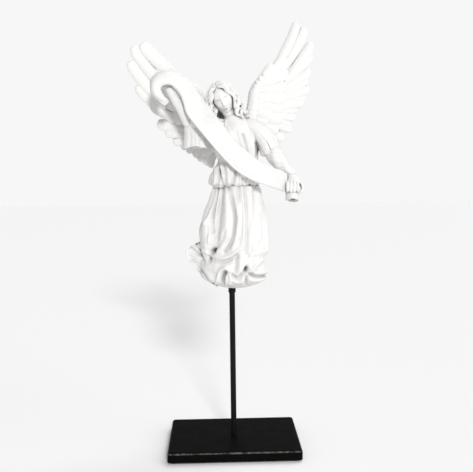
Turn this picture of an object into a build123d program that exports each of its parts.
from build123d import *

import os
from math import cos, pi, sin

# Angel figurine in cast resin, carried on a steel rod above a black rectangular base.
#
# Frame: +Z up, origin on the underside of the base at the rod's axis, the figure facing -Y. Millimetres.
# The stand is a felt pad, a board, a rod clamped by a washer and nut, and a collar that carries the figure.
# The figure is seven resin castings pinned together with steel dowels, around a socket sleeve that turns on
# the rod. A figure point is given in the sculptor's own coordinates: millimetres at the nominal figure
# height, from the point of the hem that rests on the collar. The function at() brings it to the row frame.

# ---------------------------------------------------------------- driving dimensions
BASE_WIDTH = 184.0
BASE_DEPTH = 135.0
BOARD_THICKNESS = 14.0
BOARD_CORNER_RADIUS = 5.0
BOARD_TOP_ROUND = 3.5
BOARD_BOTTOM_ROUND = 1.0
FELT_THICKNESS = 1.5
FELT_INSET = 3.0

ROD_DIAMETER = 8.0
ROD_EXPOSED = 214.5
ROD_IN_SOCKET = 35.0
ROD_TIP_CHAMFER = 0.8
STUD_DIAMETER = 6.0
STUD_CLEARANCE = 0.3
STUD_TIP_GAP = 0.4

COLLAR_DIAMETER = 10.4
COLLAR_HEIGHT = 8.0
COLLAR_CHAMFER = 0.8

RECESS_DIAMETER = 22.0
RECESS_DEPTH = 7.2
WASHER_DIAMETER = 18.0
WASHER_THICKNESS = 1.6
WASHER_CLEARANCE = 0.2
NUT_ACROSS_FLATS = 10.0
NUT_THICKNESS = 5.0

SLEEVE_WALL = 1.5
SLEEVE_RUNNING_CLEARANCE = 0.05
SLEEVE_END_GAP = 0.3
SLEEVE_CAP = 2.0

FIGURE_HEIGHT = 371.0  # from the hem to the tip of the highest feather
DOWEL_DIAMETER = 4.0
BANNER_THICKNESS = 2.4
FEATHER_THICKNESS = 3.4
FEATHER_LAYER_STEP = 1.7
FLIGHT_FEATHER_Y = 28.0  # how far behind the figure's middle the flight feathers lie
COVERT_Y = 25.0
SCROLL_RADIUS = 8.6  # the banner's rolled end
SCROLL_TOP_RADIUS = 8.0
SCROLL_HOLLOW_RADIUS = 2.6
SCROLL_HOLLOW_DEPTH = 14.0

# ---------------------------------------------------------------- places that follow from them
NOMINAL_FIGURE_HEIGHT = 371.0
SCALE = FIGURE_HEIGHT / NOMINAL_FIGURE_HEIGHT
BOARD_BOTTOM_Z = FELT_THICKNESS
BOARD_TOP_Z = BOARD_BOTTOM_Z + BOARD_THICKNESS
HEM_Z = BOARD_TOP_Z + ROD_EXPOSED
ROD_TOP_Z = HEM_Z + ROD_IN_SOCKET
SLEEVE_BORE = ROD_DIAMETER + 2 * SLEEVE_RUNNING_CLEARANCE
SLEEVE_DIAMETER = SLEEVE_BORE + 2 * SLEEVE_WALL
SLEEVE_LENGTH = ROD_IN_SOCKET + SLEEVE_END_GAP + SLEEVE_CAP
CUT_OVERRUN = 1.0  # how far a cutting shape passes the face that it opens
SCROLL_FOOT = (82, -44, 123)
SCROLL_TOP = (84, -31, 155)

UPRIGHT = (Align.CENTER, Align.CENTER, Align.MIN)


def at(x, y, z):
    """A point of the figure in the row frame, from the sculptor's coordinates."""
    return Vector(x * SCALE, y * SCALE, HEM_Z + z * SCALE)


def upright_cylinder(diameter, low, high):
    """A cylinder on the rod's axis between two heights."""
    return Pos(0, 0, low) * Cylinder(diameter / 2, high - low, align=UPRIGHT)


def main_solid(shape):
    """The casting itself, without crumbs that a cut leaves at a seam."""
    return max(shape.solids(), key=lambda solid: solid.volume)


# ---------------------------------------------------------------- stand
def felt_pad():
    """The thin pad under the board."""
    outline = RectangleRounded(
        BASE_WIDTH - 2 * FELT_INSET, BASE_DEPTH - 2 * FELT_INSET, BOARD_CORNER_RADIUS
    )
    return extrude(outline, FELT_THICKNESS)


def base_board():
    """The board, with rounded edges, the rod's hole and the recess for the nut."""
    outline = RectangleRounded(BASE_WIDTH, BASE_DEPTH, BOARD_CORNER_RADIUS)
    board = Pos(0, 0, BOARD_BOTTOM_Z) * extrude(outline, BOARD_THICKNESS)
    board = fillet(board.faces().sort_by(Axis.Z)[-1].edges(), BOARD_TOP_ROUND)
    board = fillet(board.faces().sort_by(Axis.Z)[0].edges(), BOARD_BOTTOM_ROUND)
    board -= upright_cylinder(STUD_DIAMETER + 2 * STUD_CLEARANCE, 0, BOARD_TOP_Z + CUT_OVERRUN)
    recess_roof = BOARD_BOTTOM_Z + RECESS_DEPTH
    return board - upright_cylinder(RECESS_DIAMETER, BOARD_BOTTOM_Z - CUT_OVERRUN, recess_roof)


def stand_rod():
    """The rod: its shoulder stands on the board and its stud goes down to the nut."""
    rod = upright_cylinder(ROD_DIAMETER, BOARD_TOP_Z, ROD_TOP_Z)
    rod = chamfer(rod.faces().sort_by(Axis.Z)[-1].edges(), ROD_TIP_CHAMFER)
    return rod + upright_cylinder(STUD_DIAMETER, BOARD_BOTTOM_Z + STUD_TIP_GAP, BOARD_TOP_Z)


def rod_collar():
    """The ring fixed near the top of the rod, which carries the figure."""
    ring = upright_cylinder(COLLAR_DIAMETER, HEM_Z - COLLAR_HEIGHT, HEM_Z)
    ring = chamfer(ring.faces().sort_by(Axis.Z)[0].edges(), COLLAR_CHAMFER)
    return ring - upright_cylinder(ROD_DIAMETER, HEM_Z - COLLAR_HEIGHT - CUT_OVERRUN, HEM_Z + CUT_OVERRUN)


def clamp_washer():
    """The washer between the nut and the roof of the recess."""
    top = BOARD_BOTTOM_Z + RECESS_DEPTH
    low = top - WASHER_THICKNESS
    washer = upright_cylinder(WASHER_DIAMETER, low, top)
    hole = STUD_DIAMETER + 2 * WASHER_CLEARANCE
    return washer - upright_cylinder(hole, low - CUT_OVERRUN, top + CUT_OVERRUN)


def clamp_nut():
    """The hexagon nut that clamps the rod's shoulder to the board."""
    top = BOARD_BOTTOM_Z + RECESS_DEPTH - WASHER_THICKNESS
    hexagon = RegularPolygon(NUT_ACROSS_FLATS / 2, 6, major_radius=False)
    low = top - NUT_THICKNESS
    nut = Pos(0, 0, low) * extrude(hexagon, NUT_THICKNESS)
    return nut - upright_cylinder(STUD_DIAMETER, low - CUT_OVERRUN, top + CUT_OVERRUN)


def socket_sleeve():
    """The blind tube bonded into the hem, which turns on the rod."""
    tube = upright_cylinder(SLEEVE_DIAMETER, HEM_Z, HEM_Z + SLEEVE_LENGTH)
    return tube - upright_cylinder(SLEEVE_BORE, HEM_Z - CUT_OVERRUN, ROD_TOP_Z + SLEEVE_END_GAP)


# ---------------------------------------------------------------- shapes the castings are made of
def limb(start, end, start_radius, end_radius):
    """A tapered limb with round ends, between two figure points."""
    a, b = at(*start), at(*end)
    ra, rb = start_radius * SCALE, end_radius * SCALE
    axis = Plane(origin=a, z_dir=b - a)
    if ra == rb:
        shaft = Solid.make_cylinder(ra, (b - a).length, axis)
    else:
        shaft = Solid.make_cone(ra, rb, (b - a).length, axis)
    return Part() + shaft + Pos(*a) * Sphere(ra) + Pos(*b) * Sphere(rb)


def chain(points):
    """Limbs joined end to end: each entry is a figure point and its radius."""
    body = Part()
    for (start, ra), (end, rb) in zip(points, points[1:]):
        body += limb(start, end, ra, rb)
    return body


def egg(centre, radii, turn=(0, 0, 0)):
    """An ellipsoid at a figure point, turned about its own centre."""
    shape = scale(Sphere(1), by=tuple(r * SCALE for r in radii))
    return Pos(*at(*centre)) * Rot(*turn) * shape


def fold_ring(height, centre_x, half_width, half_depth, folds, relief, centre_y=0.0):
    """One closed section through pleated cloth, as a face."""
    count = 4 * folds
    points = []
    for i in range(count):
        angle = 2 * pi * i / count
        ripple = 1 + relief * cos(folds * angle)
        points.append(
            at(
                centre_x + half_width * ripple * cos(angle),
                centre_y + half_depth * ripple * sin(angle),
                height,
            )
        )
    return Face(Wire([Spline(points, periodic=True)]))


def pleated(sections, folds):
    """Cloth lofted through sections, each a height, centre, half width, half depth and fold relief."""
    rings = [fold_ring(z, cx, hw, hd, folds, relief) for z, cx, hw, hd, relief in sections]
    return loft(rings, ruled=True)


def feather(root, tip, width, layer_y):
    """A blade with a round tip, lying across the figure at its own depth."""
    start, end = at(root[0], layer_y, root[1]), at(tip[0], layer_y, tip[1])
    along = (end - start).normalized()
    across = Vector(0, 1, 0).cross(along)
    half, length = width * SCALE / 2, (end - start).length
    # share of the length, share of the half width: up one edge, round the tip and down the other
    edge = [(0.0, 0.45), (0.35, 0.85), (0.75, 1.0), (0.93, 0.7)]
    outline = edge + [(1.0, 0.0)] + [(u, -v) for u, v in reversed(edge)]
    points = [start + along * (u * length) + across * (v * half) for u, v in outline]
    blade = Wire([Spline(points), Line(points[-1], points[0])])
    return extrude(Face(blade), FEATHER_THICKNESS * SCALE, dir=(0, 1, 0))


def dowel(start, end):
    """A steel dowel between two figure points."""
    a, b = at(*start), at(*end)
    return Solid.make_cylinder(DOWEL_DIAMETER / 2, (b - a).length, Plane(origin=a, z_dir=b - a))


# ---------------------------------------------------------------- castings
def gown():
    """The gown: pleated skirt, bloused bodice above the waist, and the hem's trailing swirl."""
    skirt = pleated(
        [
            (0, 9, 17, 15, 0.0),
            (4, 6, 33, 25, 0.01),
            (14, 5, 46, 31, 0.03),
            (30, 3, 48, 33, 0.04),
            (48, 6, 46, 32, 0.05),
            (66, 5, 49, 33, 0.05),
            (88, 4.5, 48, 32, 0.05),
            (106, 5.5, 44, 30, 0.05),
            (124, 6.5, 38, 27, 0.04),
            (142, 7, 32, 23, 0.03),
        ],
        folds=12,
    )
    bodice = pleated(
        [
            (142, 7, 32, 23, 0.03),
            (152, 5.5, 34, 27, 0.04),
            (166, 6, 32.5, 27, 0.03),
            (186, 8, 30, 25, 0.02),
            (208, 8, 32, 23, 0.01),
            (224, 8, 29, 19, 0.0),
            (235, 5, 16, 13, 0.0),
        ],
        folds=12,
    )
    swirl = egg((-47, 0, 46), (17, 20, 12), turn=(0, 38, 0))
    return Part() + skirt + bodice + swirl


def head():
    """Head, neck and hair in one casting."""
    face = egg((-12, -6, 262), (14.5, 17, 20), turn=(0, -14, 0))
    cap = egg((-11, 2, 266), (21, 20, 21), turn=(0, -14, 0))
    neck = chain([((5, 0, 232), 9.5), ((-7, -2, 250), 9.0)])
    near_lock = chain([((-30, 0, 262), 5.5), ((-31, -3, 248), 5.0), ((-24, -8, 236), 4.0)])
    far_lock = chain([((7, 0, 262), 5.5), ((12, -1, 250), 5.5), ((21, -4, 240), 5.0)])
    return face + cap + neck + near_lock + far_lock


def right_arm():
    """The raised arm: sleeve hanging from the upper arm, bare forearm, hand under the banner."""
    sleeve = chain([((-10, -2, 218), 13.0), ((-40, -8, 220), 14.0)])
    hanging = pleated_sleeve((-44, -6), 17, 14, low=197, high=226)
    forearm = chain([((-50, -11, 222), 7.6), ((-67, -17, 250), 6.6), ((-83, -18, 278), 5.4)])
    fist = chain([((-83, -18, 278), 5.6), ((-87, -17, 288), 6.2)])
    return sleeve + hanging + forearm + fist


def pleated_sleeve(centre, half_width, half_depth, low, high):
    """The open end of a wide sleeve, hanging straight down."""
    rings = [
        fold_ring(z, centre[0], half_width * grow, half_depth * grow, 9, 0.06, centre[1])
        for z, grow in ((low, 1.06), ((low + high) / 2, 1.0), (high, 0.86))
    ]
    return loft(rings)


def left_arm():
    """The lowered arm: wide sleeve to the elbow, narrow lower sleeve, hand over the rolled end."""
    sleeve = chain([((27, 0, 220), 14.0), ((44, -3, 208), 15.0), ((54, -8, 192), 12.5)])
    forearm = chain([((57, -12, 188), 9.5), ((72, -21, 168), 8.4), ((85, -28, 155), 6.4)])
    fist = chain([((85, -28, 155), 6.4), ((84, -40, 149), 6.0), ((82, -45, 143), 5.4)])
    return sleeve + forearm + fist


def banner():
    """The long banner: over the raised hand, across the chest, and rolled up at the lower hand."""
    # each station: the inner or lower edge, then the outer or upper edge
    stations = [
        ((-92, -12, 263), (-103, 2, 268)),
        ((-95, -18, 272), (-104, 2, 283)),
        ((-91, -25, 279), (-96, 2, 294)),
        ((-81, -28, 282), (-80, 0, 299)),
        ((-70, -30, 272), (-60, -6, 288)),
        ((-62, -32, 252), (-42, -14, 263)),
        ((-50, -34, 229), (-28, -24, 244)),
        ((-28, -36, 200), (-9, -30, 219)),
        ((-4, -38, 175), (13, -33, 196)),
        ((24, -38, 152), (37, -34, 176)),
        ((48, -39, 143.5), (57, -34.5, 167)),
        ((63, -41, 138.5), (68, -34, 163.5)),
        ((77, -43, 134), (80, -34, 157)),
    ]
    sheet = loft([ribbon_section(stations, i) for i in range(len(stations))])
    foot, top = at(*SCROLL_FOOT), at(*SCROLL_TOP)
    roll = limb(SCROLL_FOOT, SCROLL_TOP, SCROLL_RADIUS, SCROLL_TOP_RADIUS)
    roll -= beyond(foot, foot - top)
    roll -= beyond(top, top - foot)
    along = Plane(origin=foot, z_dir=top - foot)
    hollow = Solid.make_cylinder(SCROLL_HOLLOW_RADIUS * SCALE, SCROLL_HOLLOW_DEPTH * SCALE, along)
    return sheet + roll - hollow


def beyond(origin, direction):
    """A block that starts at a point and lies on the far side of it, large enough to trim the scroll."""
    size = 4 * SCROLL_RADIUS * SCALE
    return Plane(origin=origin, z_dir=direction) * Pos(0, 0, size / 2) * Box(size, size, size)


def ribbon_section(stations, index):
    """The banner's cross-section at one station, square to the way it runs there."""
    inner, outer = (at(*p) for p in stations[index])
    before = stations[max(index - 1, 0)]
    after = stations[min(index + 1, len(stations) - 1)]
    run = (at(*after[0]) + at(*after[1])) - (at(*before[0]) + at(*before[1]))
    out = (outer - inner).cross(run).normalized() * (BANNER_THICKNESS / 2)
    corners = [inner - out, outer - out, outer + out, inner + out]
    return Face(Wire.make_polygon(corners, close=True))


def wing(arm, blades, coverts):
    """One wing: the arm, the flight feathers behind it and the coverts in front."""
    body = chain(arm)
    for index, (root, tip, width) in enumerate(blades):
        body += feather(root, tip, width, FLIGHT_FEATHER_Y + FEATHER_LAYER_STEP * (index % 2))
    for index, (root, tip, width) in enumerate(coverts):
        body += feather(root, tip, width, COVERT_Y + FEATHER_LAYER_STEP * (index % 2))
    return body


def right_wing():
    """The wing behind the raised arm."""
    return wing(
        arm=[((-10, 20, 208), 9.0), ((-24, 27, 246), 9.0), ((-50, 29, 283), 7.0), ((-86, 30, 312), 4.0)],
        blades=[
            ((-52, 290), (-112, 336), 16),
            ((-46, 280), (-135, 338), 18),
            ((-42, 270), (-138, 315), 18),
            ((-38, 260), (-130, 286), 18),
            ((-34, 250), (-115, 257), 18),
            ((-30, 242), (-102, 231), 18),
            ((-26, 234), (-80, 208), 16),
            ((-20, 226), (-62, 192), 15),
            ((-16, 218), (-47, 181), 14),
            ((-10, 212), (-31, 174), 13),
        ],
        coverts=[
            ((-40, 283), (-82, 300), 15),
            ((-34, 272), (-80, 281), 16),
            ((-30, 262), (-74, 262), 16),
            ((-26, 250), (-66, 244), 16),
            ((-22, 240), (-54, 226), 15),
            ((-18, 230), (-44, 209), 14),
        ],
    )


def left_wing():
    """The wing behind the lowered arm, raised higher than the other."""
    return wing(
        arm=[((26, 20, 208), 9.0), ((34, 27, 250), 9.0), ((41, 29, 286), 8.0), ((66, 30, 316), 5.0)],
        blades=[
            ((48, 296), (97, 370), 17),
            ((50, 288), (110, 360), 17),
            ((50, 280), (117, 339), 18),
            ((50, 272), (115, 303), 18),
            ((50, 264), (113, 278), 17),
            ((48, 256), (106, 259), 17),
            ((44, 248), (95, 241), 16),
            ((40, 240), (89, 222), 16),
            ((34, 230), (74, 204), 15),
        ],
        coverts=[
            ((40, 290), (72, 312), 15),
            ((38, 284), (76, 292), 16),
            ((36, 276), (77, 274), 16),
            ((34, 266), (69, 256), 15),
            ((32, 256), (60, 239), 15),
            ((30, 246), (52, 226), 14),
        ],
    )


# ---------------------------------------------------------------- assembly
def dowels():
    """Each joint's dowels by node name."""
    return {
        "neck_dowel": [dowel((7, 0, 222), (-2, -1, 244))],
        "right_arm_dowel": [dowel((-2, -1, 216), (-24, -4, 218))],
        "left_arm_dowel": [dowel((14, 0, 214), (36, -3, 212))],
        "right_wing_dowels": [dowel((-6, 8, 208), (-11, 24, 210)), dowel((-9, 8, 220), (-15, 25, 224))],
        "left_wing_dowels": [dowel((22, 8, 208), (27, 24, 210)), dowel((23, 8, 220), (29, 25, 224))],
        "banner_dowels": [dowel((-4, -20, 199), (-7, -33, 198)), dowel((17, -20, 181), (17, -35, 178))],
    }


def figure_castings():
    """The castings by node name, each cut back to seat on the ones before it."""
    pins = dowels()
    sleeve = upright_cylinder(SLEEVE_DIAMETER, HEM_Z - CUT_OVERRUN, HEM_Z + SLEEVE_LENGTH)
    seated = {}
    for name, shape in (
        ("banner", banner()),
        ("gown", gown()),
        ("head", head()),
        ("right_arm", right_arm()),
        ("left_arm", left_arm()),
        ("right_wing", right_wing()),
        ("left_wing", left_wing()),
    ):
        for other in seated.values():
            shape -= other
        for group in pins.values():
            for pin in group:
                shape -= pin
        seated[name] = main_solid(shape - sleeve)
    return seated


def main():
    """Writes every sub-part."""
    nodes = {
        "felt_pad": felt_pad(),
        "base_board": base_board(),
        "stand_rod": stand_rod(),
        "rod_collar": rod_collar(),
        "clamp_washer": clamp_washer(),
        "clamp_nut": clamp_nut(),
        "socket_sleeve": socket_sleeve(),
    }
    nodes.update(figure_castings())
    nodes.update({name: Compound(children=group) for name, group in dowels().items()})
    os.makedirs("parts", exist_ok=True)
    for name, shape in nodes.items():
        export_step(shape, f"parts/{name}.step")


main()
